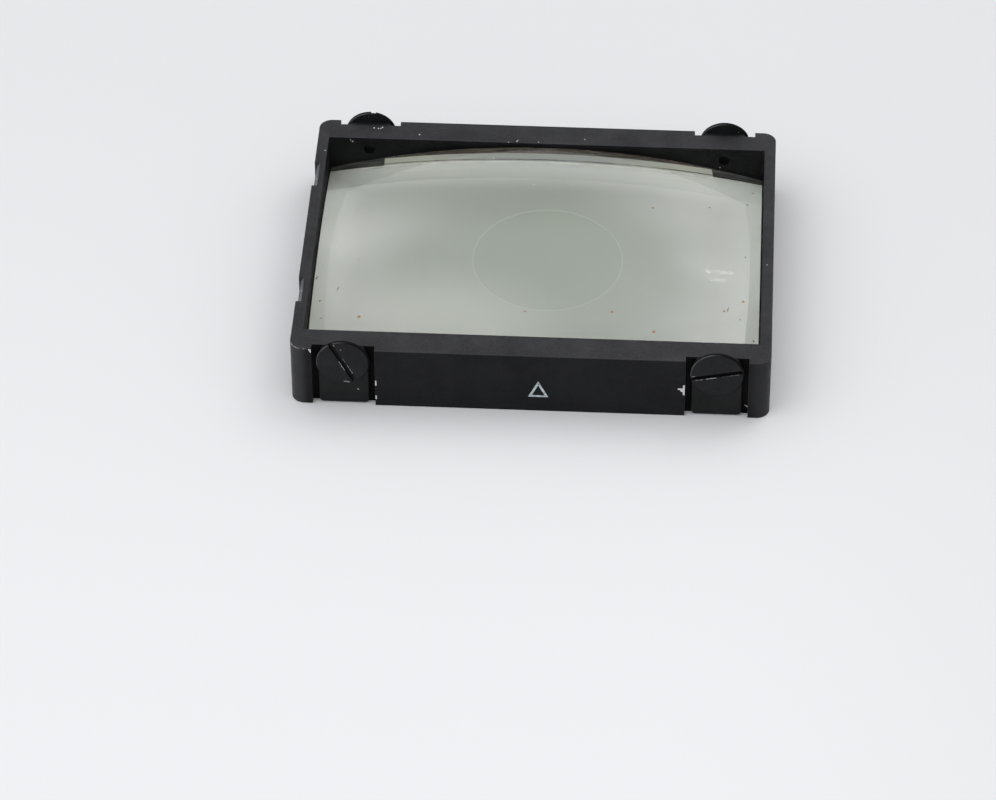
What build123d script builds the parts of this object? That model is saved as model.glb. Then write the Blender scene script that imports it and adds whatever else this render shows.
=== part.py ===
from build123d import *
import math
import os

# Interchangeable focusing screen of a 35 mm reflex camera.
# Millimetres. X runs along the long side, Y from the front long side to the rear one, +Z is up.
# The origin is the middle of the frame's underside, the face that the screen lies on.

# Frame: one rectangular rim of black anodised metal.
FRAME_LENGTH = 39.5
FRAME_DEPTH = 30.64
FRAME_HEIGHT = 5.9
SIDE_RIM = 0.94
LONG_RIM = 2.48
CORNER_RADIUS = 1.1
WINDOW_CORNER_RADIUS = 0.15
EDGE_BREAK = 0.04

# Rebate round the underside of the window, which the focusing plate stops against.
REBATE_STEP = 0.24

# Upright grooves for the clips, two on each long side.
SCREW_X = 15.35
SCREW_Z = 4.62
GROOVE_WIDTH = 5.2
GROOVE_DEPTH = 0.6
SLIDING_GAP = 0.02

# Clips: L-shaped straps that hang in the grooves and hook under the plate.
CLIP_WIDTH = 4.15
CLIP_THICKNESS = 0.38
CLIP_BOTTOM = 0.06
CLIP_TOP_DROP = 0.05
CLIP_CORNER_RADIUS = 0.4
CLIP_BEND_RADIUS = 0.14
FOOT_THICKNESS = 0.28
FOOT_WIDTH = 2.6
FOOT_REACH = 1.0
FOOT_SLOT_WIDTH = 3.5
FOOT_SLOT_HEIGHT = 0.6
PAD_THICKNESS = 0.06
PAD_WIDTH = 1.2
PAD_LENGTH = 0.8
PAD_GAP = 0.05

# Slotted screws with large flat heads, one through each clip.
HEAD_RADIUS = 2.2
HEAD_THICKNESS = 0.36
HEAD_BEVEL = 0.1
SHANK_RADIUS = 0.45
THREAD_HOLE_RADIUS = 0.5
CLIP_HOLE_RADIUS = 0.54
SHANK_RECESS = 0.5
SLOT_WIDTH = 0.40
SLOT_DEPTH = 0.25

# Where each screw's slot stands, in degrees from level, rising to the right as seen from the front.
SLOT_ANGLES = {
    "front_left": -63,
    "front_right": 12,
    "rear_left": 84,
    "rear_right": 20,
}

# Optical stack: a thin focusing plate, a gasket and a plano-convex condenser lens.
PLATE_THICKNESS = 0.4
PLATE_CLEARANCE = 0.05
GASKET_THICKNESS = 0.06
GASKET_WIDTH = 0.3
LENS_RADIUS = 63.7
LENS_APEX_Z = 6.87
LENS_END_GAP = 0.06
LENS_SIDE_GAP = 0.14
CIRCLE_RADIUS = 6.0
CIRCLE_LINE_WIDTH = 0.08
CIRCLE_LINE_DEPTH = 0.03

# Blackened packing strips between the lens and the long walls, one at each corner.
STRIP_LENGTH = 4.4
STRIP_THICKNESS = 0.12
STRIP_DROP = 0.12

# Two catch notches in the left side, sloped at the top.
NOTCH_Y = 7.7
NOTCH_LENGTH = 3.2
NOTCH_TOP_DEPTH = 0.48
NOTCH_FOOT_DEPTH = 0.2
NOTCH_SLOPE_HEIGHT = 0.4
NOTCH_HEIGHT = 1.6

# The centre circle and the index both stand a little right of the frame's middle.
OPTICAL_CENTRE_X = 0.7

# Engraved index triangle on the front, filled with white paint.
INDEX_Z = 2.35
INDEX_WIDTH = 1.7
INDEX_HEIGHT = 1.7
INDEX_STROKE = 0.2
INDEX_DEPTH = 0.12
INDEX_SINK = 0.02

# Sizes that follow from the ones above.
WINDOW_LENGTH = FRAME_LENGTH - 2 * SIDE_RIM
WINDOW_DEPTH = FRAME_DEPTH - 2 * LONG_RIM
REBATE_LENGTH = WINDOW_LENGTH + 2 * REBATE_STEP
REBATE_DEPTH = WINDOW_DEPTH + 2 * REBATE_STEP
PLATE_LENGTH = REBATE_LENGTH - 2 * PLATE_CLEARANCE
PLATE_DEPTH = REBATE_DEPTH - 2 * PLATE_CLEARANCE
LENS_LENGTH = WINDOW_LENGTH - 2 * LENS_END_GAP
LENS_DEPTH = WINDOW_DEPTH - 2 * LENS_SIDE_GAP
GROOVE_FLOOR_Y = FRAME_DEPTH / 2 - GROOVE_DEPTH
CLIP_BACK_Y = GROOVE_FLOOR_Y + SLIDING_GAP
CLIP_FACE_Y = CLIP_BACK_Y + CLIP_THICKNESS
HEAD_BACK_Y = CLIP_FACE_Y + SLIDING_GAP
HEAD_FACE_Y = HEAD_BACK_Y + HEAD_THICKNESS
WINDOW_WALL_Y = WINDOW_DEPTH / 2
FOOT_TIP_Y = WINDOW_WALL_Y - FOOT_REACH
FOOT_TOP_Z = CLIP_BOTTOM + FOOT_THICKNESS
PAD_TOP_Z = FOOT_TOP_Z + PAD_THICKNESS
PLATE_BOTTOM_Z = PAD_TOP_Z + PAD_GAP
PLATE_TOP_Z = PLATE_BOTTOM_Z + PLATE_THICKNESS
LENS_BOTTOM_Z = PLATE_TOP_Z + GASKET_THICKNESS

# The corners: +1 is right or rear, -1 is left or front.
CORNERS = {
    "front_left": (-1, -1),
    "front_right": (1, -1),
    "rear_left": (-1, 1),
    "rear_right": (1, 1),
}

BOTTOM_UP = (Align.CENTER, Align.CENTER, Align.MIN)


def block(x_range, y_range, z_range):
    """A plain block between two values on each axis, given in either order."""
    sizes = [abs(end - start) for start, end in (x_range, y_range, z_range)]
    middle = [(start + end) / 2 for start, end in (x_range, y_range, z_range)]
    return Pos(*middle) * Box(*sizes)


def rounded_slab(length, depth, bottom, top, radius):
    """A rectangular slab with rounded upright corners."""
    slab = Pos(0, 0, bottom) * Box(length, depth, top - bottom, align=BOTTOM_UP)
    return fillet(slab.edges().filter_by(Axis.Z), radius)


def rod_along_y(radius, x, z, y_start, y_end):
    """A cylinder whose axis runs along Y."""
    length = abs(y_end - y_start)
    return Pos(x, (y_start + y_end) / 2, z) * Rot(90, 0, 0) * Cylinder(radius, length)


def lens_ball():
    """The ball whose cap is the lens's domed face."""
    return Pos(0, 0, LENS_APEX_Z - LENS_RADIUS) * Sphere(LENS_RADIUS)


def lens_height(x, y):
    """Height of the domed face above the frame's underside."""
    drop = LENS_RADIUS - math.sqrt(LENS_RADIUS**2 - x**2 - y**2)
    return LENS_APEX_Z - drop


def index_triangle(y_start, y_end):
    """The hollow triangle of the index, as a solid between two depths."""
    half = INDEX_WIDTH / 2
    low = INDEX_Z - INDEX_HEIGHT / 2
    high = INDEX_Z + INDEX_HEIGHT / 2
    outline = Polyline((-half, low), (half, low), (0, high), close=True)
    outer = make_face(outline)
    inner = offset(outer, amount=-INDEX_STROKE)
    plane = Plane(origin=(OPTICAL_CENTRE_X, y_start, 0), x_dir=(1, 0, 0), z_dir=(0, -1, 0))
    return extrude(plane * (outer - inner), amount=y_start - y_end)


def catch_notch(side_y):
    """What one notch takes out of the left side: a slope at the top, then a shallow upright step."""
    x = -FRAME_LENGTH / 2
    top = FRAME_HEIGHT
    slope_end = FRAME_HEIGHT - NOTCH_SLOPE_HEIGHT
    foot = FRAME_HEIGHT - NOTCH_HEIGHT
    outline = Polyline(
        (x - 1, top + 1),
        (x + NOTCH_TOP_DEPTH, top + 1),
        (x + NOTCH_TOP_DEPTH, top),
        (x + NOTCH_FOOT_DEPTH, slope_end),
        (x + NOTCH_FOOT_DEPTH, foot),
        (x - 1, foot),
        close=True,
    )
    plane = Plane(origin=(0, side_y + NOTCH_LENGTH / 2, 0), x_dir=(1, 0, 0), z_dir=(0, -1, 0))
    return extrude(plane * make_face(outline), amount=NOTCH_LENGTH)


def make_frame():
    frame = rounded_slab(FRAME_LENGTH, FRAME_DEPTH, 0, FRAME_HEIGHT, CORNER_RADIUS)
    rims = frame.faces().filter_by(Axis.Z)
    frame = chamfer(rims.edges(), EDGE_BREAK)
    frame -= rounded_slab(WINDOW_LENGTH, WINDOW_DEPTH, -1, FRAME_HEIGHT + 1, WINDOW_CORNER_RADIUS)
    frame -= rounded_slab(REBATE_LENGTH, REBATE_DEPTH, -1, PLATE_TOP_Z, WINDOW_CORNER_RADIUS)
    for x_side, y_side in CORNERS.values():
        x = x_side * SCREW_X
        groove_x = (x - GROOVE_WIDTH / 2, x + GROOVE_WIDTH / 2)
        slot_x = (x - FOOT_SLOT_WIDTH / 2, x + FOOT_SLOT_WIDTH / 2)
        past_wall = y_side * (FRAME_DEPTH / 2 + 1)
        inside = y_side * (WINDOW_WALL_Y - 1)
        floor = y_side * GROOVE_FLOOR_Y
        frame -= block(groove_x, (floor, past_wall), (-1, FRAME_HEIGHT + 1))
        frame -= block(slot_x, (inside, past_wall), (-1, FOOT_SLOT_HEIGHT))
        frame -= rod_along_y(THREAD_HOLE_RADIUS, x, SCREW_Z, inside, past_wall)
    for side_y in (-NOTCH_Y, NOTCH_Y):
        frame -= catch_notch(side_y)
    front = -FRAME_DEPTH / 2
    return frame - index_triangle(front + INDEX_DEPTH, front - 1)


def make_index():
    front = -FRAME_DEPTH / 2
    return index_triangle(front + INDEX_DEPTH, front + INDEX_SINK)


def make_clip(x_side, y_side):
    x = x_side * SCREW_X
    face = y_side * CLIP_FACE_Y
    back = y_side * CLIP_BACK_Y
    strap_x = (x - CLIP_WIDTH / 2, x + CLIP_WIDTH / 2)
    foot_x = (x - FOOT_WIDTH / 2, x + FOOT_WIDTH / 2)
    strap = block(strap_x, (back, face), (CLIP_BOTTOM, SCREW_Z))
    lower_corners = strap.edges().filter_by(Axis.Y).group_by(Axis.Z)[0]
    strap = fillet(lower_corners, CLIP_CORNER_RADIUS)
    strap += rod_along_y(CLIP_WIDTH / 2, x, SCREW_Z, back, face)
    strap += block(foot_x, (y_side * FOOT_TIP_Y, face), (CLIP_BOTTOM, FOOT_TOP_Z))
    outer_edges = strap.edges().filter_by(Axis.X).group_by(Axis.Z)[0].sort_by(Axis.Y)
    bend = outer_edges[-1] if y_side > 0 else outer_edges[0]
    strap = fillet(bend, CLIP_BEND_RADIUS)
    above = (FRAME_HEIGHT - CLIP_TOP_DROP, FRAME_HEIGHT + CLIP_WIDTH)
    strap -= block((x - CLIP_WIDTH, x + CLIP_WIDTH), (back - y_side, face + y_side), above)
    return strap - rod_along_y(CLIP_HOLE_RADIUS, x, SCREW_Z, back - y_side, face + y_side)


def make_pad(x_side, y_side):
    x = x_side * SCREW_X
    pad_x = (x - PAD_WIDTH / 2, x + PAD_WIDTH / 2)
    pad_y = (y_side * FOOT_TIP_Y, y_side * (FOOT_TIP_Y + PAD_LENGTH))
    return block(pad_x, pad_y, (FOOT_TOP_Z, PAD_TOP_Z))


def make_screw(x_side, y_side, slot_angle):
    x = x_side * SCREW_X
    back = y_side * HEAD_BACK_Y
    face = y_side * HEAD_FACE_Y
    tip = y_side * (WINDOW_WALL_Y + SHANK_RECESS)
    head = rod_along_y(HEAD_RADIUS, x, SCREW_Z, back, face)
    head = chamfer(head.edges().filter_by(GeomType.CIRCLE), HEAD_BEVEL)
    slot = Box(2 * HEAD_RADIUS + 1, 2 * SLOT_DEPTH, SLOT_WIDTH)
    head -= Pos(x, face, SCREW_Z) * Rot(0, -slot_angle, 0) * slot
    return head + rod_along_y(SHANK_RADIUS, x, SCREW_Z, tip, back + y_side * HEAD_THICKNESS / 4)


def make_plate():
    plate = rounded_slab(PLATE_LENGTH, PLATE_DEPTH, PLATE_BOTTOM_Z, PLATE_TOP_Z, WINDOW_CORNER_RADIUS)
    ring = Cylinder(CIRCLE_RADIUS + CIRCLE_LINE_WIDTH, 2 * CIRCLE_LINE_DEPTH)
    ring -= Cylinder(CIRCLE_RADIUS, 2 * CIRCLE_LINE_DEPTH)
    return plate - Pos(OPTICAL_CENTRE_X, 0, PLATE_BOTTOM_Z) * ring


def make_gasket():
    inner_length = LENS_LENGTH - 2 * GASKET_WIDTH
    inner_depth = LENS_DEPTH - 2 * GASKET_WIDTH
    outer = rounded_slab(LENS_LENGTH, LENS_DEPTH, PLATE_TOP_Z, LENS_BOTTOM_Z, WINDOW_CORNER_RADIUS)
    inner = Pos(0, 0, PLATE_TOP_Z - 1) * Box(inner_length, inner_depth, 3, align=BOTTOM_UP)
    return outer - inner


def make_lens():
    blank = rounded_slab(LENS_LENGTH, LENS_DEPTH, LENS_BOTTOM_Z, LENS_APEX_Z + 1, WINDOW_CORNER_RADIUS)
    return blank & lens_ball()


def make_strip(x_side, y_side):
    """A strip whose top edge slopes a little below the lens's domed face."""
    outer_x = LENS_LENGTH / 2 - WINDOW_CORNER_RADIUS
    inner_x = outer_x - STRIP_LENGTH
    wall = WINDOW_WALL_Y - (LENS_SIDE_GAP - STRIP_THICKNESS) / 2
    outline = Polyline(
        (x_side * inner_x, LENS_BOTTOM_Z),
        (x_side * outer_x, LENS_BOTTOM_Z),
        (x_side * outer_x, lens_height(outer_x, wall) - STRIP_DROP),
        (x_side * inner_x, lens_height(inner_x, wall) - STRIP_DROP),
        close=True,
    )
    start = y_side * wall if y_side < 0 else wall - STRIP_THICKNESS
    plane = Plane(origin=(0, start, 0), x_dir=(1, 0, 0), z_dir=(0, -1, 0))
    return extrude(plane * make_face(outline), amount=-STRIP_THICKNESS)


nodes = {
    "frame": make_frame(),
    "index_mark": make_index(),
    "condenser_lens": make_lens(),
    "lens_gasket": make_gasket(),
    "focusing_plate": make_plate(),
}
for corner, (x_side, y_side) in CORNERS.items():
    nodes[f"clip_{corner}"] = make_clip(x_side, y_side)
    nodes[f"clip_pad_{corner}"] = make_pad(x_side, y_side)
    nodes[f"screw_{corner}"] = make_screw(x_side, y_side, SLOT_ANGLES[corner])
    nodes[f"packing_strip_{corner}"] = make_strip(x_side, y_side)

os.makedirs("parts", exist_ok=True)
for name, shape in nodes.items():
    export_step(shape, f"parts/{name}.step")
    print(name, round(shape.volume, 3))
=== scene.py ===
import math

import bmesh
import bpy
from mathutils import Matrix, Vector


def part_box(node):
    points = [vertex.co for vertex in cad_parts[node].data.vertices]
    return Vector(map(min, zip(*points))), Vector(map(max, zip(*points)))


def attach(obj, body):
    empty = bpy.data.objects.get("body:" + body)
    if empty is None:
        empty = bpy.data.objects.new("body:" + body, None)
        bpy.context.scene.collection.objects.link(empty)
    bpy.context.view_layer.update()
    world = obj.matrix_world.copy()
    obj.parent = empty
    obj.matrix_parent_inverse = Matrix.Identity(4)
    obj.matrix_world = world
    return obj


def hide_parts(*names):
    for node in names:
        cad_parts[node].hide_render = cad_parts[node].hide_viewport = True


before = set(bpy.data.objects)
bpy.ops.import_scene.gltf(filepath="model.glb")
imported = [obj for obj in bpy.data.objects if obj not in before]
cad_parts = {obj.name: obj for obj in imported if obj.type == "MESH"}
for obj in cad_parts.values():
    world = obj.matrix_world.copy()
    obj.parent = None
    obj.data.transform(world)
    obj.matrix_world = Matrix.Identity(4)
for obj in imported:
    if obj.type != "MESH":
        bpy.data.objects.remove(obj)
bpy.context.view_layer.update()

# Looks of a camera focusing screen: a black metal frame with a domed condenser lens over a matte plate.
# Metres, in the frame's own axes: X along the long side, Y to the rear, Z up.
# MM turns millimetres into metres.
MM = 0.001

LENS_RADIUS = 63.7
LENS_CORNER = 0.15
CIRCLE_RADIUS = 6.0
CIRCLE_X = 0.7
GROOVE_WIDTH = 5.2
GROOVE_DEPTH = 0.6
LENS_END_GAP = 0.06
LENS_SIDE_GAP = 0.14
SLOT_WIDTH = 0.40

# Each corner's screw slot, in degrees from level, rising to the right as seen from the front.
SLOT_ANGLES = {
    "front_left": -63,
    "front_right": 12,
    "rear_left": 84,
    "rear_right": 20,
}


# ---------------------------------------------------------------- node materials


class Shader:
    """A new material and short ways to add nodes to it. Positions inside it are in millimetres."""

    def __init__(self, name):
        self.material = bpy.data.materials.new(name)
        self.material.use_nodes = True
        self.tree = self.material.node_tree
        self.tree.nodes.clear()
        self.output = self.add("ShaderNodeOutputMaterial")
        coordinates = self.add("ShaderNodeTexCoord").outputs["Object"]
        scaled = self.add("ShaderNodeVectorMath", operation="SCALE")
        self.link(coordinates, scaled.inputs[0])
        scaled.inputs["Scale"].default_value = 1 / MM
        self.place = scaled.outputs[0]
        split = self.add("ShaderNodeSeparateXYZ")
        self.link(self.place, split.inputs[0])
        self.x, self.y, self.z = split.outputs

    def add(self, kind, **settings):
        node = self.tree.nodes.new(kind)
        for key, value in settings.items():
            setattr(node, key, value)
        return node

    def link(self, source, target):
        self.tree.links.new(source, target)

    def feed(self, socket, value):
        """Links a socket, or sets its value when given a plain number, tuple or vector."""
        if isinstance(value, bpy.types.NodeSocket):
            self.link(value, socket)
        elif isinstance(value, (tuple, list)) and len(value) == 3 and socket.type == "RGBA":
            socket.default_value = (*value, 1)
        else:
            socket.default_value = value

    def math(self, operation, first, second=0.0, third=0.0, clamp=False):
        node = self.add("ShaderNodeMath", operation=operation, use_clamp=clamp)
        for socket, value in zip(node.inputs, (first, second, third)):
            self.feed(socket, value)
        return node.outputs[0]

    def noise(self, scale, detail=3.0, roughness=0.55, stretch=(1, 1, 1), distortion=0.0):
        """Noise from 0 to 1. scale is in cells per millimetre; stretch lengthens them along an axis."""
        place = self.add("ShaderNodeVectorMath", operation="DIVIDE")
        self.link(self.place, place.inputs[0])
        place.inputs[1].default_value = stretch
        node = self.add("ShaderNodeTexNoise")
        self.link(place.outputs[0], node.inputs["Vector"])
        node.inputs["Scale"].default_value = scale
        node.inputs["Detail"].default_value = detail
        node.inputs["Roughness"].default_value = roughness
        node.inputs["Distortion"].default_value = distortion
        return node.outputs["Fac"]

    def ramp(self, value, low, high, to_low=0.0, to_high=1.0):
        """A smooth step of value between low and high."""
        node = self.add("ShaderNodeMapRange", interpolation_type="SMOOTHSTEP")
        for key, setting in zip(("Value", "From Min", "From Max", "To Min", "To Max"),
                                (value, low, high, to_low, to_high)):
            self.feed(node.inputs[key], setting)
        return node.outputs[0]

    def colour(self, factor, first, second):
        node = self.add("ShaderNodeMix", data_type="RGBA")
        self.feed(node.inputs["Factor"], factor)
        self.feed(node.inputs[6], first)
        self.feed(node.inputs[7], second)
        return node.outputs[2]

    def specks(self, density, share, size, seed=0.0):
        """1 inside small scattered spots. density is cells per millimetre, share how many hold one."""
        place = self.add("ShaderNodeVectorMath", operation="ADD")
        self.link(self.place, place.inputs[0])
        place.inputs[1].default_value = (seed, seed * 1.7, seed * 0.6)
        cells = self.add("ShaderNodeTexVoronoi")
        self.link(place.outputs[0], cells.inputs["Vector"])
        cells.inputs["Scale"].default_value = density
        pick = self.add("ShaderNodeSeparateColor")
        self.link(cells.outputs["Color"], pick.inputs[0])
        chosen = self.math("GREATER_THAN", pick.outputs[0], 1 - share)
        radius = self.math("MULTIPLY", pick.outputs[1], size * density)
        inside = self.math("LESS_THAN", cells.outputs["Distance"], radius)
        return self.math("MULTIPLY", chosen, inside)

    def spots(self, points, ragged=0.0):
        """1 inside any of the balls (x, y, z, radius), in millimetres, with ragged edges."""
        total = 0.0
        wobble = self.math("MULTIPLY", self.math("SUBTRACT", self.noise(5.0, 4.0), 0.5), ragged)
        for x, y, z, radius in points:
            distance = self.add("ShaderNodeVectorMath", operation="DISTANCE")
            self.link(self.place, distance.inputs[0])
            distance.inputs[1].default_value = (x, y, z)
            reach = self.math("ADD", distance.outputs["Value"], wobble)
            total = self.math("MAXIMUM", total, self.math("LESS_THAN", reach, radius))
        return total

    def strokes(self, lines, ragged=0.0):
        """1 inside any of the ragged strokes (start, end, radius), in millimetres, with round ends."""
        total = 0.0
        wobble = self.math("MULTIPLY", self.math("SUBTRACT", self.noise(6.0, 4.0), 0.5), ragged)
        for start, end, radius in lines:
            along = Vector(end) - Vector(start)
            offset = self.vector("SUBTRACT", self.place, start)
            share = self.add("ShaderNodeVectorMath", operation="DOT_PRODUCT")
            self.link(offset, share.inputs[0])
            share.inputs[1].default_value = along / along.length_squared
            reached = self.math("MULTIPLY", share.outputs["Value"], 1.0, clamp=True)
            nearest = self.add("ShaderNodeVectorMath", operation="SCALE")
            nearest.inputs[0].default_value = along
            self.link(reached, nearest.inputs["Scale"])
            gap = self.add("ShaderNodeVectorMath", operation="DISTANCE")
            self.link(offset, gap.inputs[0])
            self.link(nearest.outputs[0], gap.inputs[1])
            distance = self.math("ADD", gap.outputs["Value"], wobble)
            total = self.math("MAXIMUM", total, self.math("LESS_THAN", distance, radius))
        return total

    def vector(self, operation, first, second):
        node = self.add("ShaderNodeVectorMath", operation=operation)
        self.feed(node.inputs[0], first)
        self.feed(node.inputs[1], second)
        return node.outputs[0]

    def hypotenuse(self, first, second):
        """Distance from the middle, given how far off it is along two axes."""
        squares = [self.math("MULTIPLY", offset, offset) for offset in (first, second)]
        return self.math("SQRT", self.math("ADD", *squares))

    def bump(self, height, strength, distance_mm):
        node = self.add("ShaderNodeBump")
        node.inputs["Strength"].default_value = strength
        node.inputs["Distance"].default_value = distance_mm * MM
        self.link(height, node.inputs["Height"])
        return node.outputs[0]

    def principled(self, colour, roughness, normal=None, **constants):
        """A Principled shader; constants are set straight on its sockets."""
        node = self.add("ShaderNodeBsdfPrincipled")
        self.feed(node.inputs["Base Color"], colour)
        self.feed(node.inputs["Roughness"], roughness)
        if normal is not None:
            self.link(normal, node.inputs["Normal"])
        for key, value in constants.items():
            self.feed(node.inputs[key.replace("_", " ")], value)
        return node.outputs[0]

    def mix(self, factor, first, second):
        node = self.add("ShaderNodeMixShader")
        self.feed(node.inputs[0], factor)
        self.link(first, node.inputs[1])
        self.link(second, node.inputs[2])
        return node.outputs[0]

    def done(self, shader):
        self.link(shader, self.output.inputs["Surface"])
        return self.material


BARE_METAL = (0.66, 0.65, 0.64)
DUST = (0.40, 0.40, 0.39)
WHITE_DUST = (0.72, 0.72, 0.69)


def black_metal(name, dark, light, roughness, specular, marks=(), flecks=(), painted_end_lights=(), worn=0.0, dust=0.1):
    """Black finished metal: fine grain, cloudy tone and dust, bright at the marks and where it is worn.

    flecks are balls of white dust; the end lights are (from x, to x, colour): painted highlights fading in
    towards the ends.
    """
    s = Shader(name)
    cloud = s.noise(0.35, 4.0)
    fine = s.noise(7.0, 5.0, 0.75)
    tone = s.math("MULTIPLY_ADD", fine, 0.6, s.math("MULTIPLY", cloud, 0.4))
    colour = s.colour(s.ramp(tone, 0.38, 0.62), dark, light)
    # Painted highlight: the colour fades to a paler tone towards each listed end, where the light falls.
    for start, end, haze in painted_end_lights:
        fade = s.ramp(s.x, start, end)
        patchy = s.ramp(fine, 0.3, 0.7, 0.6, 1.0)
        colour = s.colour(s.math("MULTIPLY", fade, patchy), colour, haze)
    colour = s.colour(s.math("MULTIPLY", s.specks(1.1, dust, 0.055), 0.6), colour, DUST)
    if flecks:
        colour = s.colour(s.math("MULTIPLY", s.spots(flecks, 0.1), 0.8), colour, WHITE_DUST)
    bare = s.strokes(marks, 0.16) if marks else 0.0
    if worn:
        rubbed = s.ramp(s.noise(1.1, 6.0, 0.72, distortion=0.6), 0.74 - worn * 0.3, 0.80 - worn * 0.25)
        bare = s.math("MAXIMUM", bare, s.math("MULTIPLY", rubbed, 0.6))
    colour = s.colour(bare, colour, BARE_METAL)
    rough = s.ramp(s.noise(1.3, 4.0), 0.3, 0.7, roughness - 0.05, roughness + 0.08)
    normal = s.bump(fine, 0.7, 0.006)
    return s.done(s.principled(colour, rough, normal, Specular_IOR_Level=specular))


def head_circle(corner):
    """Middle x, middle z, radius and outer face's y of a screw's head, in millimetres."""
    low, high = (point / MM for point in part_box(f"screw_{corner}"))
    face = low.y if abs(low.y) > abs(high.y) else high.y
    return (low.x + high.x) / 2, (low.z + high.z) / 2, (high.z - low.z) / 2, face


def slot_line(corner, side, start, end):
    """Ends of a line along one edge of a screw's slot; start and end are shares of the head's radius."""
    angle = math.radians(SLOT_ANGLES[corner])
    centre_x, centre_z, radius, face = head_circle(corner)
    points = []
    for share in (start, end):
        along, across = share * radius, side * SLOT_WIDTH / 2
        points.append((centre_x + along * math.cos(angle) - across * math.sin(angle), face,
                       centre_z + along * math.sin(angle) + across * math.cos(angle)))
    return points


def screw_black(corner, marks, scuffs):
    """Blackened steel with fine rings about its axis, painted shade in the slot and bright rubbed edges."""
    s = Shader(f"screw_black_{corner}")
    centre_x, centre_z, head_radius, face = head_circle(corner)
    across = s.math("SUBTRACT", s.x, centre_x)
    up = s.math("SUBTRACT", s.z, centre_z)
    radius = s.hypotenuse(across, up)
    rings = s.math("SINE", s.math("MULTIPLY", radius, 70.0))
    fine = s.noise(7.0, 5.0, 0.7)
    colour = s.colour(s.ramp(fine, 0.35, 0.7), (0.0062, 0.0066, 0.0072), (0.0120, 0.0125, 0.0135))
    smear = s.ramp(s.noise(0.8, 3.0), 0.45, 0.75)
    colour = s.colour(s.math("MULTIPLY", smear, 0.22), colour, (0.026, 0.027, 0.027))
    depth = s.math("SUBTRACT", abs(face), s.math("ABSOLUTE", s.y))
    # Painted shade: the slot's walls and floor, below the face, are painted near black where shade falls
    # inside it.
    painted_slot_shade = s.math("MULTIPLY", s.ramp(depth, 0.04, 0.14), s.ramp(depth, 0.30, 0.27))
    inside = s.math("MULTIPLY", painted_slot_shade, s.math("LESS_THAN", radius, head_radius - 0.12))
    colour = s.colour(inside, colour, (0.002, 0.002, 0.002))
    back_dust = s.math("MULTIPLY", s.ramp(depth, 0.32, 0.34), s.specks(3.0, 0.35, 0.07, seed=5.1))
    dusty = s.math("MAXIMUM", s.specks(2.2, 0.10, 0.05), back_dust)
    colour = s.colour(s.math("MULTIPLY", dusty, 0.7), colour, DUST)
    lines = [(*slot_line(corner, side, start, end), width) for side, start, end, width in marks]
    if lines or scuffs:
        colour = s.colour(s.math("MULTIPLY", s.strokes(lines + scuffs, 0.10), 0.8), colour, BARE_METAL)
    height = s.math("MULTIPLY_ADD", rings, 0.25, fine)
    rough = s.ramp(s.noise(1.7, 3.0), 0.3, 0.7, 0.4, 0.52)
    return s.done(s.principled(colour, rough, s.bump(height, 0.35, 0.004), Specular_IOR_Level=0.17))


def screw_chamfer_highlight(corner):
    """Chamfers of a head: black like its face, with a painted highlight greyer towards the upper left,
    where the light falls.
    """
    s = Shader(f"screw_chamfer_highlight_{corner}")
    centre_x, centre_z = head_circle(corner)[:2]
    across = s.math("SUBTRACT", s.x, centre_x)
    up = s.math("SUBTRACT", s.z, centre_z)
    # Painted highlight: the chamfers are painted greyer towards the upper left, where the light falls; the
    # mask called rubbed holds this highlight, not wear.
    lean = s.math("MULTIPLY_ADD", across, -0.85, s.math("MULTIPLY", up, 0.5))
    patchy = s.noise(1.6, 5.0, 0.7)
    rubbed = s.math("MULTIPLY", s.ramp(lean, 0.5, 1.9), s.ramp(patchy, 0.3, 0.6, 0.5, 1.0))
    colour = s.colour(rubbed, (0.0045, 0.0047, 0.0052), (0.075, 0.075, 0.084))
    return s.done(s.principled(colour, 0.5, s.bump(patchy, 0.3, 0.004), Specular_IOR_Level=0.05))


def screw_side_painted_shade():
    """The narrow side of a head, dull, with painted shade that keeps it very dark."""
    s = Shader("screw_side_painted_shade")
    fine = s.noise(6.0, 4.0, 0.7)
    # Painted shade: the head's narrow side is painted darker than its face, where shade falls.
    colour = s.colour(fine, (0.002, 0.002, 0.0022), (0.006, 0.006, 0.0065))
    return s.done(s.principled(colour, 0.6, s.bump(fine, 0.4, 0.004), Specular_IOR_Level=0.05))


def worn_edge(name, amount, dark, brightness=0.4, specular=0.35, marks=()):
    """Edge of a blackened part, rubbed through to bright metal here and there and at the marks."""
    s = Shader(name)
    rubbed = s.ramp(s.noise(0.9, 6.0, 0.75, distortion=0.8), 0.72 - amount, 0.80 - amount)
    if marks:
        rubbed = s.math("MAXIMUM", rubbed, s.strokes(marks, 0.16))
    tone = s.noise(6.0, 4.0)
    bare = s.colour(tone, (brightness * 0.6,) * 3, (brightness, brightness * 0.99, brightness * 0.97))
    colour = s.colour(rubbed, (dark, dark, dark * 1.1), bare)
    rough = s.ramp(tone, 0.3, 0.7, 0.34, 0.48)
    return s.done(s.principled(colour, rough, s.bump(tone, 0.3, 0.003), Specular_IOR_Level=specular))


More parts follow.
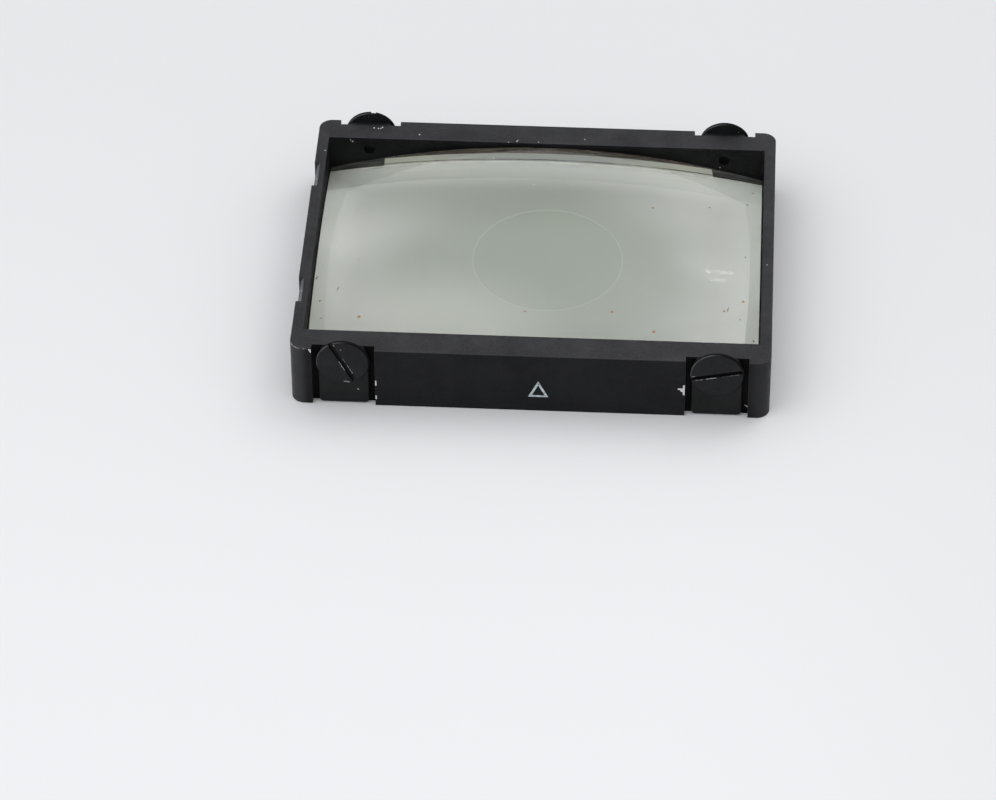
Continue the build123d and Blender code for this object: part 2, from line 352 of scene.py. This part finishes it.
def polished_glass(brown_specks, white_specks, dark_lint, haze):
    """Clear crown glass, a trace green, with smears, dust, dark lint, brown specks and a dry haze."""
    s = Shader("optical_glass")
    smear = s.noise(0.16, 5.0, 0.6, distortion=1.2)
    rough = s.ramp(smear, 0.5, 0.8, 0.0, 0.03)
    glass = s.principled((0.97, 0.985, 0.965), rough, None, Transmission_Weight=1.0, IOR=1.52)
    dust = s.math("MAXIMUM", s.specks(0.45, 0.18, 0.04), s.spots(white_specks, 0.08))
    dry = s.math("MULTIPLY", s.strokes(haze, 0.5), s.ramp(s.noise(2.4, 5.0, 0.7), 0.35, 0.65, 0.1, 0.4))
    white = s.principled((0.80, 0.80, 0.78), 0.9)
    brown = s.principled((0.36, 0.15, 0.035), 0.85)
    grey = s.principled((0.10, 0.095, 0.07), 0.85)
    through = s.add("ShaderNodeBsdfTransparent")
    through.inputs[0].default_value = (0.95, 0.965, 0.945, 1)
    rays = s.add("ShaderNodeLightPath")
    clear = s.mix(rays.outputs["Is Shadow Ray"], glass, through.outputs[0])
    dusty = s.mix(s.math("MAXIMUM", dust, dry), clear, white)
    dusty = s.mix(s.math("MULTIPLY", s.strokes(dark_lint, 0.06), 0.8), dusty, grey)
    return s.done(s.mix(s.math("MULTIPLY", s.spots(brown_specks, 0.10), 0.85), dusty, brown))


def ground_edge(lens_low, lens_high, strip_length, flakes, rust):
    """The lens's ground rim: brown under the dome, then pale frost with a painted dark shade line and
    painted light towards its ends, black at its very ends.
    """
    s = Shader("ground_edge")
    ragged = s.math("MULTIPLY", s.math("SUBTRACT", s.noise(1.2, 4.0), 0.5), 0.3)
    fine = s.noise(4.0, 5.0, 0.7)
    height = s.math("ADD", s.math("SUBTRACT", s.z, lens_low.z), ragged)
    # Painted light: the frost is painted paler and yellower towards the ends of the edge, where more light
    # reaches it.
    ends = s.ramp(s.math("ABSOLUTE", s.x), 4.0, 11.0)
    middle_frost = s.colour(fine, (0.44, 0.46, 0.43), (0.58, 0.60, 0.56))
    end_frost_painted_light = s.colour(fine, (0.68, 0.68, 0.58), (0.90, 0.90, 0.80))
    frost = s.colour(ends, middle_frost, end_frost_painted_light)
    streak = s.noise(3.0, 5.0, 0.75, stretch=(4, 4, 1))
    brown = s.colour(s.ramp(streak, 0.35, 0.68), (0.040, 0.034, 0.026), (0.20, 0.175, 0.14))
    # Painted shade: a thin dark line half a millimetre up the frost stands in for the shade at the foot of
    # the lens.
    from_line = s.math("ABSOLUTE", s.math("SUBTRACT", height, 0.5))
    line = s.math("SUBTRACT", 1.0, s.ramp(from_line, 0.08, 0.22))
    thin = s.ramp(s.noise(0.5, 3.0), 0.3, 0.6, 0.35, 0.9)
    colour = s.colour(s.math("MULTIPLY", line, thin), frost, (0.09, 0.09, 0.07))
    colour = s.colour(s.ramp(height, 2.35, 2.6), colour, brown)
    ends_middle = 0.155
    past_strip = 0.70
    from_middle = s.math("ABSOLUTE", s.math("SUBTRACT", s.x, ends_middle))
    lean = s.math("MULTIPLY_ADD", height, -0.08, s.math("MULTIPLY_ADD", ragged, 0.3, from_middle))
    start = lens_high.x - strip_length - past_strip
    corner = s.ramp(lean, start + 0.16, start + 0.26)
    long_streak = s.noise(2.2, 4.0, 0.7, stretch=(7, 7, 1))
    black = s.colour(s.ramp(long_streak, 0.35, 0.65), (0.020, 0.020, 0.018), (0.13, 0.13, 0.115))
    colour = s.colour(corner, colour, black)
    colour = s.colour(s.spots(flakes, 0.1), colour, (0.92, 0.90, 0.78))
    colour = s.colour(s.spots(rust, 0.1), colour, (0.50, 0.25, 0.09))
    return s.done(s.principled(colour, 0.75, s.bump(fine, 0.4, 0.01), Specular_IOR_Level=0.3))


def matte_screen(half_x, half_y):
    """Finely ground sheet with fresnel rings outside a 12 mm matte circle, with painted light and shade:
    darker and greener in the middle and at the rear left, paler further out, at the bottom left and at the
    rear right.

    half_x and half_y are half the window's sizes: painted light makes the sheet paler close to its walls.
    """
    s = Shader("matte_screen")
    from_centre = s.math("SUBTRACT", s.x, CIRCLE_X)
    radius = s.hypotenuse(from_centre, s.y)
    grain = s.noise(16.0, 4.0, 0.7)
    cloud = s.noise(0.10, 3.0)

    def patch(x, y, reach_x, reach_y):
        """1 in the middle of a soft oval, 0 outside it."""
        offset = s.vector("SUBTRACT", s.place, (x, y, 0))
        scaled = s.vector("DIVIDE", s.vector("MULTIPLY", offset, (1, 1, 0)), (reach_x, reach_y, 1))
        length = s.add("ShaderNodeVectorMath", operation="LENGTH")
        s.link(scaled, length.inputs[0])
        return s.ramp(length.outputs["Value"], 1.0, 0.25)

    # Painted light and shade: darker and greener inside a middle oval, paler outside it.
    painted_light_outside = s.math("SUBTRACT", 1.0, patch(0.0, -2.0, 21.0, 16.0))
    outer = s.ramp(s.math("MULTIPLY_ADD", cloud, 0.10, painted_light_outside), 0.2, 1.0)
    field_and_painted_light = s.colour(outer, (0.295, 0.320, 0.280), (0.490, 0.486, 0.468))
    # Painted shade: darker and greener towards the rear left.
    field_and_painted_light = s.colour(s.math("MULTIPLY", patch(-5.0, 9.0, 20.0, 6.8), 0.72), field_and_painted_light, (0.20, 0.225, 0.18))
    # Painted light: paler towards the bottom left.
    field_and_painted_light = s.colour(s.math("MULTIPLY", patch(-9.0, -8.5, 15.0, 9.0), 0.50), field_and_painted_light, (0.60, 0.595, 0.565))
    # Painted light: paler at the rear right.
    field_and_painted_light = s.colour(s.math("MULTIPLY", patch(16.0, 13.5, 11.0, 6.5), 0.5), field_and_painted_light, (0.85, 0.85, 0.83))
    from_end = s.math("SUBTRACT", half_x, s.math("ABSOLUTE", s.x))
    from_side = s.math("SUBTRACT", half_y, s.math("ABSOLUTE", s.y))
    # Painted light: paler close to the walls, in place of the shade they cast on the sheet.
    painted_wall_light = s.math("SUBTRACT", 1.0, s.ramp(s.math("MINIMUM", from_end, from_side), 0.0, 4.5))
    field_and_painted_light = s.colour(s.math("MULTIPLY", painted_wall_light, 0.75), field_and_painted_light, (0.85, 0.86, 0.82))
    ring_pitch = 0.12
    rings = s.math("SINE", s.math("MULTIPLY", radius, 2 * math.pi / ring_pitch))
    outside = s.ramp(radius, CIRCLE_RADIUS - 0.04, CIRCLE_RADIUS + 0.04)
    offset = s.math("ABSOLUTE", s.math("SUBTRACT", radius, CIRCLE_RADIUS + 0.04))
    line = s.math("SUBTRACT", 1.0, s.ramp(offset, 0.0, 0.09))
    field_and_painted_light = s.colour(s.math("MULTIPLY", s.math("SUBTRACT", 1.0, outside), 0.14), field_and_painted_light, (0.20, 0.25, 0.19))
    field_and_painted_light = s.colour(s.math("MULTIPLY", line, 0.3), field_and_painted_light, (0.55, 0.56, 0.54))
    field_and_painted_light = s.colour(s.math("MULTIPLY", s.ramp(grain, 0.3, 0.75), 0.10), field_and_painted_light, (0.66, 0.66, 0.64))
    height = s.math("MULTIPLY_ADD", s.math("MULTIPLY", rings, outside), 0.4, grain)
    surface = s.principled(field_and_painted_light, 0.75, s.bump(height, 0.15, 0.004), Specular_IOR_Level=0.2)
    glow = s.add("ShaderNodeBsdfTranslucent")
    s.feed(glow.inputs["Color"], field_and_painted_light)
    return s.done(s.mix(0.15, surface, glow.outputs[0]))


def index_paint():
    """White paint in the engraving, slightly bluish, thin in places."""
    s = Shader("index_paint")
    patchy = s.noise(3.2, 5.0, 0.7)
    colour = s.colour(s.ramp(patchy, 0.36, 0.6), (0.26, 0.30, 0.31), (0.62, 0.70, 0.72))
    return s.done(s.principled(colour, 0.7, s.bump(patchy, 0.5, 0.02), Specular_IOR_Level=0.3))


def dull_sheet(name, dark, light, scale):
    """A dull thin sheet: gasket film, felt or blackened card."""
    s = Shader(name)
    fibre = s.noise(scale, 5.0, 0.75, stretch=(3, 1, 1))
    colour = s.colour(s.ramp(fibre, 0.3, 0.7), dark, light)
    return s.done(s.principled(colour, 0.85, s.bump(fibre, 0.5, 0.01), Specular_IOR_Level=0.2))


def floor_paint():
    """Plain pale table top with painted shade, darker towards the back and the right."""
    s = Shader("pale_floor")
    cloud = s.noise(0.012, 3.0)
    grain = s.noise(0.8, 4.0)
    # Painted shade: darker towards the back and the right.
    colour = s.colour(s.ramp(s.y, 50, -70), (0.735, 0.735, 0.742), (0.815, 0.815, 0.822))
    colour = s.colour(s.ramp(s.x, 10, 60, 0.0, 0.5), colour, (0.70, 0.70, 0.705))
    colour = s.colour(s.math("MULTIPLY", cloud, 0.06), colour, (0.9, 0.9, 0.9))
    return s.done(s.principled(colour, 0.8, s.bump(grain, 0.05, 0.05), Specular_IOR_Level=0.1))


# ---------------------------------------------------------------- shapes


def new_piece(name, mesh, materials, body, slot_name, *replaced):
    """Puts a mesh in the scene on a body, in place of CAD nodes."""
    for material in materials:
        mesh.materials.append(material)
    piece = bpy.data.objects.new(name, mesh)
    bpy.context.scene.collection.objects.link(piece)
    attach(piece, body)
    if replaced:
        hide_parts(*replaced)
    return piece


def softened(node, width_mm, zone=lambda face: 0, sharp_degrees=30, segments=2):
    """A copy of a CAD node's mesh with its sharp edges rounded inwards. The rounded faces take material 1.

    zone gives each of the other faces its material.
    """
    shape = bmesh.new()
    shape.from_mesh(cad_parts[node].data)
    bmesh.ops.remove_doubles(shape, verts=shape.verts, dist=1e-7)
    bmesh.ops.dissolve_limit(shape, angle_limit=math.radians(0.5), verts=shape.verts, edges=shape.edges)
    for face in shape.faces:
        face.material_index = zone(face)
    sharp = [edge for edge in shape.edges
             if len(edge.link_faces) == 2 and edge.calc_face_angle() > math.radians(sharp_degrees)]
    bmesh.ops.bevel(shape, geom=sharp, offset=width_mm * MM, segments=segments, profile=0.5, affect="EDGES",
                    clamp_overlap=True, material=1, harden_normals=False)
    for face in shape.faces:
        face.smooth = True
    for edge in shape.edges:
        turn = edge.calc_face_angle(math.pi) if len(edge.link_faces) == 2 else math.pi
        edge.smooth = turn < math.radians(40)
    mesh = bpy.data.meshes.new(node + "_softened")
    shape.to_mesh(mesh)
    shape.free()
    return mesh


def rounded_outline(half_x, half_y, radius, inset=0.0, along=44, across=32, turn=6):
    """Points round a rectangle with rounded corners, anticlockwise, the same number whatever the inset."""
    points = []
    reach_x, reach_y = half_x - radius, half_y - radius
    small = max(radius - inset, 0.02)
    corners = [(1, -1, -90), (1, 1, 0), (-1, 1, 90), (-1, -1, 180)]
    for index, (sx, sy, start) in enumerate(corners):
        for step in range(turn + 1):
            angle = math.radians(start + 90 * step / turn)
            points.append((sx * reach_x + small * math.cos(angle), sy * reach_y + small * math.sin(angle)))
        nx, ny, next_start = corners[(index + 1) % 4]
        angle = math.radians(next_start)
        end = (nx * reach_x + small * math.cos(angle), ny * reach_y + small * math.sin(angle))
        first = points[-1]
        count = across if index % 2 == 0 else along
        for step in range(1, count):
            share = step / count
            points.append((first[0] + (end[0] - first[0]) * share, first[1] + (end[1] - first[1]) * share))
    return points


def lens_mesh():
    """The condenser lens: a finely divided dome, a small bevel, ground walls and a flat underside."""
    low, high = (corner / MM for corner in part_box("condenser_lens"))
    half_x, half_y = (high.x - low.x) / 2, (high.y - low.y) / 2
    apex, bottom = high.z, low.z
    bevel, rings, film_gap = 0.07, 34, 0.005
    shape = bmesh.new()

    def dome_z(x, y):
        return apex - LENS_RADIUS + math.sqrt(LENS_RADIUS**2 - x * x - y * y)

    def loop(points, height):
        return [shape.verts.new((x * MM, y * MM, height(x, y) * MM)) for x, y in points]

    def bridge(upper, lower, material):
        for index in range(len(upper)):
            after = (index + 1) % len(upper)
            face = shape.faces.new((upper[index], lower[index], lower[after], upper[after]))
            face.material_index = material
            face.smooth = True

    rim = rounded_outline(half_x, half_y, LENS_CORNER, bevel)
    centre = shape.verts.new((0, 0, apex * MM))
    inner = None
    for ring in range(1, rings + 1):
        share = ring / rings
        current = loop([(x * share, y * share) for x, y in rim], dome_z)
        if inner is None:
            for index in range(len(current)):
                face = shape.faces.new((centre, current[index], current[(index + 1) % len(current)]))
                face.smooth = True
        else:
            bridge(inner, current, 0)
        inner = current
    outline = rounded_outline(half_x, half_y, LENS_CORNER)
    shoulder = loop(outline, lambda x, y: dome_z(x, y) - bevel)
    base = loop(outline, lambda x, y: bottom + film_gap)
    bridge(inner, shoulder, 1)
    bridge(shoulder, base, 1)
    under = shape.faces.new(list(reversed(base)))
    under.material_index = 0
    bmesh.ops.recalc_face_normals(shape, faces=shape.faces)
    for edge in shape.edges:
        edge.smooth = edge.calc_face_angle(math.pi) < math.radians(20)
    mesh = bpy.data.meshes.new("lens")
    shape.to_mesh(mesh)
    shape.free()
    return mesh


# ---------------------------------------------------------------- the object

frame_low, frame_high = (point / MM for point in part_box("frame"))
lens_low, lens_high = (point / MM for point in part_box("condenser_lens"))
strip_low, strip_high = (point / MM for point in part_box("packing_strip_front_left"))
front, top = frame_low.y, frame_high.z
groove_floor = -frame_low.y - GROOVE_DEPTH


def groove_edge(corner, side):
    """X of a clip groove's left (-1) or right (+1) edge."""
    return head_circle(corner)[0] + side * GROOVE_WIDTH / 2


def upright(x, low, high, radius):
    """A mark down the front face, between two heights."""
    return ((x, front, low), (x, front, high), radius)


left_inner = groove_edge("front_left", -1)
left_outer = groove_edge("front_left", 1)
right_inner = groove_edge("front_right", -1)
right_outer = groove_edge("front_right", 1)
FRONT_MARKS = [
    ((left_inner - 0.13, front, top - 0.06), (left_inner - 0.02, front, top - 0.32), 0.10),
    upright(left_outer + 0.04, 2.2, 2.62, 0.075),
    upright(left_outer + 0.04, 0.75, 1.02, 0.08),
    upright(right_inner - 0.05, 2.35, 3.2, 0.12),
    ((right_inner - 0.50, front, 2.88), (right_inner, front, 2.86), 0.08),
    ((right_inner - 0.28, front, 2.75), (right_inner, front, 2.60), 0.12),
]
GROOVE_MARKS = [
    ((17.72, front + GROOVE_DEPTH, 0.86), (17.92, front + GROOVE_DEPTH, 0.74), 0.05),
]
CORNER_MARKS = [
    ((-19.70, -14.55, top), (-19.42, -15.02, top), 0.06),
    ((-19.42, -15.02, top), (-18.95, -15.30, top), 0.06),
    ((-18.65, -15.34, top), (-18.45, -15.34, top), 0.05),
]
RIM_FLECKS = [
    (-14.30, 14.42, top, 0.08), (-15.02, 14.32, top, 0.07), (-14.63, 14.27, top, 0.06),
    (-14.42, 14.28, top, 0.06), (-11.02, 13.58, top, 0.06), (-2.57, 13.05, top, 0.05),
    (-2.48, 13.20, top, 0.045), (-3.30, 12.90, top, 0.05), (-0.70, 13.04, top, 0.05),
    (3.27, 13.62, top, 0.05), (-18.98, 10.95, top, 0.05), (19.2, -2.6, top, 0.05),
]
WALL_FLECKS = [(-16.77, 12.84, 5.51, 0.08), (-16.95, 12.84, 5.66, 0.04), (15.0, 12.84, 3.9, 0.05)]


def frame_zone(face):
    """Material of one of the frame's faces.

    2 upper rim, 3 window walls, 4 notch slopes, 5 screw holes, 6 clip grooves, 0 the rest.
    """
    centre = face.calc_center_median() / MM
    within_rim = lens_high.y + 0.3 < abs(centre.y) < groove_floor - 0.1 and centre.z > 3.0
    not_on_top = face.normal.z < 0.9 or centre.z < top - 0.5
    if within_rim and not_on_top and abs(face.normal.y) < 0.1:
        return 5
    in_groove = groove_floor - 0.01 < abs(centre.y) < -front - 0.1 and abs(centre.x) < 18.5
    if in_groove and face.normal.z < 0.1:
        return 6
    if face.normal.z > 0.7:
        return 2
    if face.normal.z > 0.2 and face.normal.x < -0.5:
        return 4
    if abs(centre.x) < lens_high.x + 0.3 and abs(centre.y) < lens_high.y + 0.3:
        return 3
    return 0


frame_materials = [
    black_metal("anodised_sides", (0.0050, 0.0052, 0.0060), (0.0100, 0.0103, 0.0118), 0.46, 0.14,
                FRONT_MARKS + CORNER_MARKS,
                # Painted highlights: the left end of the sides, and less so the right end, are painted
                # paler where the light falls.
                painted_end_lights=((-18.2, -19.0, (0.042, 0.042, 0.046)), (17.9, 19.0, (0.024, 0.024, 0.026)))),
    worn_edge("anodised_edge", -0.02, 0.030, marks=CORNER_MARKS),
    # Painted light: the up-facing faces take a lighter copy of the sides' black, a painted highlight from
    # the light overhead; the white flecks and dust on it are real.
    black_metal("anodised_top_painted_light", (0.0125, 0.0125, 0.0140), (0.0285, 0.0285, 0.0315), 0.5, 0.26,
                flecks=RIM_FLECKS, dust=0.16),
    black_metal("window_walls", (0.0050, 0.0053, 0.0058), (0.0135, 0.0135, 0.0145), 0.55, 0.14,
                flecks=WALL_FLECKS, dust=0.14),
    # Wear and painted highlight: the up-left notch slopes are rubbed to bare metal in patches, and their
    # black is painted paler as a highlight where the light from the left falls.
    black_metal("rubbed_notch_and_highlight", (0.045, 0.044, 0.054), (0.12, 0.118, 0.14), 0.42, 0.35, worn=0.5),
    # Painted shade: the screw holes' bores are painted near black, where shade falls inside them.
    dull_sheet("screw_hole_painted_shade", (0.0015, 0.0015, 0.0015), (0.004, 0.004, 0.004), 6.0),
    # Painted shade: the clip grooves' floors and walls are painted darker than the sides, where shade falls
    # in the recess; the mark and dust in them are real.
    black_metal("groove_painted_shade", (0.0018, 0.0019, 0.0019), (0.0055, 0.0055, 0.0052), 0.55, 0.06,
                marks=GROOVE_MARKS, dust=0.12),
]
new_piece("frame_body", softened("frame", 0.02, frame_zone), frame_materials,
          "carrier", "black_metal", "frame")

BROWN_SPECKS = [
    (-14.49, -9.37, 4.49, 0.15), (-17.98, -6.81, 3.90, 0.10), (-15.07, -2.53, 5.01, 0.06),
    (9.44, 4.37, 6.01, 0.11), (14.24, 5.96, 4.97, 0.09), (17.31, -5.50, 4.22, 0.11),
    (15.75, -7.11, 4.48, 0.09), (6.51, -9.30, 5.85, 0.12), (10.00, -10.81, 5.14, 0.12),
    (18.26, -9.59, 3.44, 0.09), (-0.66, -9.90, 6.09, 0.09), (17.91, 9.96, 3.48, 0.08),
]
WHITE_SPECKS = [
    (-4.43, 10.73, 5.80, 0.07), (-0.78, 6.36, 6.55, 0.06), (9.5, -8.29, 5.61, 0.06),
    (2.9, 1.1, 6.84, 0.05),
]
DARK_LINT = [
    ((-16.62, -5.90, 4.38), (-16.47, -5.55, 4.46), 0.035),
    ((-18.55, -4.05, 3.98), (-18.42, -3.80, 4.02), 0.05),
    ((-17.80, -8.85, 3.71), (-17.62, -8.75, 3.74), 0.04),
    ((16.04, -7.05, 4.42), (16.10, -6.55, 4.45), 0.035),
    ((17.38, 0.02, 4.45), (17.40, 0.15, 4.45), 0.04),
    ((17.40, 7.80, 3.95), (17.50, 7.72, 3.93), 0.06),
    ((17.10, -7.70, 4.04), (17.13, -7.55, 4.06), 0.035),
]
HAZE_STROKES = [
    ((14.2, -2.85, 5.18), (16.3, -2.35, 4.72), 0.22),
    ((14.7, -3.75, 5.03), (15.6, -3.45, 4.84), 0.22),
]
EDGE_FLAKES = [
    (13.03, 12.70, 4.22, 0.14), (-7.88, 12.70, 5.02, 0.06), (-13.2, 12.70, 3.9, 0.05),
    (3.6, 12.70, 5.35, 0.05),
]
EDGE_RUST = [(10.8, 12.70, 4.45, 0.11), (12.2, 12.70, 4.15, 0.05)]
strip_length = strip_high.x - strip_low.x
lens_materials = [
    polished_glass(BROWN_SPECKS, WHITE_SPECKS, DARK_LINT, HAZE_STROKES),
    ground_edge(lens_low, lens_high, strip_length, EDGE_FLAKES, EDGE_RUST),
]
new_piece("lens", lens_mesh(), lens_materials, "carrier", "optical_glass", "condenser_lens")

# Rubbed slot edges: which edge of the slot (+1 upper, -1 lower), where the rubbing starts and ends
# in shares of the head's radius, and half its width.
SLOT_MARKS = {
    "front_left": [
        (-1, -0.12, 0.34, 0.032), (1, 0.15, 0.58, 0.024), (1, -0.22, 0.0, 0.02),
        (1, -0.95, -0.86, 0.04),
    ],
    "front_right": [
        (-1, -0.88, -0.5, 0.018), (-1, -0.42, -0.05, 0.034), (-1, 0.2, 0.85, 0.016),
        (1, -0.98, -0.8, 0.03),
    ],
    "rear_left": [],
    "rear_right": [],
}
HEAD_SCUFFS = {
    "front_left": [
        ((-15.29, -15.5, 2.68), (-14.72, -15.5, 2.60), 0.016),
        ((-15.15, -15.5, 2.82), (-14.95, -15.5, 2.74), 0.012),
    ],
}


def head_zone(face):
    """Material of one of a screw's faces: 2 the head's chamfers, 3 its narrow side, 0 the rest."""
    head_x, head_z = head_circle("front_left")[:2]
    centre = face.calc_center_median() / MM
    sideways = abs(face.normal.y)
    outside = math.hypot(abs(centre.x) - abs(head_x), centre.z - head_z) > 1.6
    if outside and 0.3 < sideways < 0.95:
        return 2
    if outside and sideways <= 0.3:
        return 3
    return 0


clip_skin = black_metal("clip_black", (0.0058, 0.0062, 0.0064), (0.0132, 0.0137, 0.0140), 0.44, 0.16,
                        marks=[((-14.20, -15.12, 1.56), (-14.13, -15.12, 1.52), 0.025)])
clip_edge = worn_edge("clip_edge", -0.03, 0.014)
head_edge = worn_edge("screw_edge", -0.03, 0.010, 0.3, specular=0.1)
for corner, marks in SLOT_MARKS.items():
    new_piece(f"clip_{corner}_strap", softened(f"clip_{corner}", 0.02), [clip_skin, clip_edge],
              f"clip_{corner}", "black_steel", f"clip_{corner}")
    head_materials = [screw_black(corner, marks, HEAD_SCUFFS.get(corner, [])), head_edge,
                      screw_chamfer_highlight(corner), screw_side_painted_shade()]
    new_piece(f"screw_{corner}_head", softened(f"screw_{corner}", 0.012, head_zone, sharp_degrees=40),
              head_materials, f"screw_{corner}", "screw_steel", f"screw_{corner}")

card = dull_sheet("packing_card", (0.018, 0.017, 0.015), (0.05, 0.047, 0.042), 2.0)
felt = dull_sheet("pad_felt", (0.012, 0.012, 0.012), (0.045, 0.045, 0.045), 8.0)
node_materials = {
    "index_mark": index_paint(),
    "focusing_plate": matte_screen(lens_high.x + LENS_END_GAP, lens_high.y + LENS_SIDE_GAP),
    # Painted light: the gasket film is painted pale to offset the shade under the lens's edge.
    "lens_gasket": dull_sheet("gasket_film_painted_light", (0.66, 0.66, 0.61), (0.82, 0.82, 0.78), 3.0),
}
for corner in SLOT_ANGLES:
    node_materials[f"packing_strip_{corner}"] = card
    node_materials[f"clip_pad_{corner}"] = felt
for node, material in node_materials.items():
    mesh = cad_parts[node].data
    mesh.materials.clear()
    mesh.materials.append(material)

# ---------------------------------------------------------------- floor, light and camera

floor_mesh = bpy.data.meshes.new("floor")
reach = 4.0
floor_corners = [(-reach, -reach, 0), (reach, -reach, 0), (reach, reach, 0), (-reach, reach, 0)]
floor_mesh.from_pydata(floor_corners, [], [(0, 1, 2, 3)])
floor_mesh.materials.append(floor_paint())
floor = bpy.data.objects.new("floor", floor_mesh)
bpy.context.scene.collection.objects.link(floor)


# Soft lobes of light in the studio's sky: direction, sharpness, strength and colour.
SKY_LOBES = [
    ((-0.45, -0.25, 0.86), 8, 1.48, (0.95, 0.96, 1.0)),
    ((0.42, 0.46, 0.78), 26, 2.17, (1.0, 1.0, 1.0)),
    ((0.28, 0.72, 0.63), 420, 1.0, (1.0, 1.0, 1.0)),
]
HORIZON_STRENGTH = 0.41
ZENITH_STRENGTH = 0.89


def studio_sky():
    """A pale sky, brighter overhead, with broad soft lobes in place of lamps."""
    world = bpy.data.worlds.new("studio")
    world.use_nodes = True
    tree = world.node_tree
    direction = tree.nodes.new("ShaderNodeTexCoord").outputs["Generated"]
    split = tree.nodes.new("ShaderNodeSeparateXYZ")
    tree.links.new(direction, split.inputs[0])
    rise = tree.nodes.new("ShaderNodeMapRange")
    tree.links.new(split.outputs[2], rise.inputs["Value"])
    rise.inputs["To Min"].default_value = HORIZON_STRENGTH
    rise.inputs["To Max"].default_value = ZENITH_STRENGTH
    total = tree.nodes.new("ShaderNodeVectorMath")
    total.operation = "SCALE"
    total.inputs[0].default_value = (0.98, 0.985, 1.0)
    tree.links.new(rise.outputs[0], total.inputs["Scale"])
    for aim, sharpness, strength, colour in SKY_LOBES:
        facing = tree.nodes.new("ShaderNodeVectorMath")
        facing.operation = "DOT_PRODUCT"
        tree.links.new(direction, facing.inputs[0])
        facing.inputs[1].default_value = Vector(aim).normalized()
        ahead = tree.nodes.new("ShaderNodeMath")
        ahead.operation = "MAXIMUM"
        tree.links.new(facing.outputs["Value"], ahead.inputs[0])
        ahead.inputs[1].default_value = 0.0
        lobe = tree.nodes.new("ShaderNodeMath")
        lobe.operation = "POWER"
        tree.links.new(ahead.outputs[0], lobe.inputs[0])
        lobe.inputs[1].default_value = sharpness
        tinted = tree.nodes.new("ShaderNodeVectorMath")
        tinted.operation = "SCALE"
        tinted.inputs[0].default_value = Vector(colour) * strength
        tree.links.new(lobe.outputs[0], tinted.inputs["Scale"])
        added = tree.nodes.new("ShaderNodeVectorMath")
        tree.links.new(total.outputs[0], added.inputs[0])
        tree.links.new(tinted.outputs[0], added.inputs[1])
        total = added
    tree.links.new(total.outputs[0], tree.nodes["Background"].inputs["Color"])
    return world


bpy.context.scene.world = studio_sky()
bpy.context.scene.view_settings.view_transform = "Standard"

CAMERA_SPOT = (14.965, -305.503, 255.211)
CAMERA_AZIMUTH = 3.466
CAMERA_ELEVATION = 41.164
CAMERA_ROLL = -0.337
camera_data = bpy.data.cameras.new("camera")
camera_data.sensor_width = 36.0
camera_data.lens = 169.35
camera_data.clip_start = 0.01
camera = bpy.data.objects.new("camera", camera_data)
turn = Matrix.Rotation(math.radians(CAMERA_AZIMUTH), 4, "Z")
tilt = Matrix.Rotation(math.radians(90 - CAMERA_ELEVATION), 4, "X")
roll = Matrix.Rotation(math.radians(CAMERA_ROLL), 4, "Z")
camera.matrix_world = Matrix.Translation(Vector(CAMERA_SPOT) * MM) @ turn @ tilt @ roll
bpy.context.scene.collection.objects.link(camera)
bpy.context.scene.camera = camera
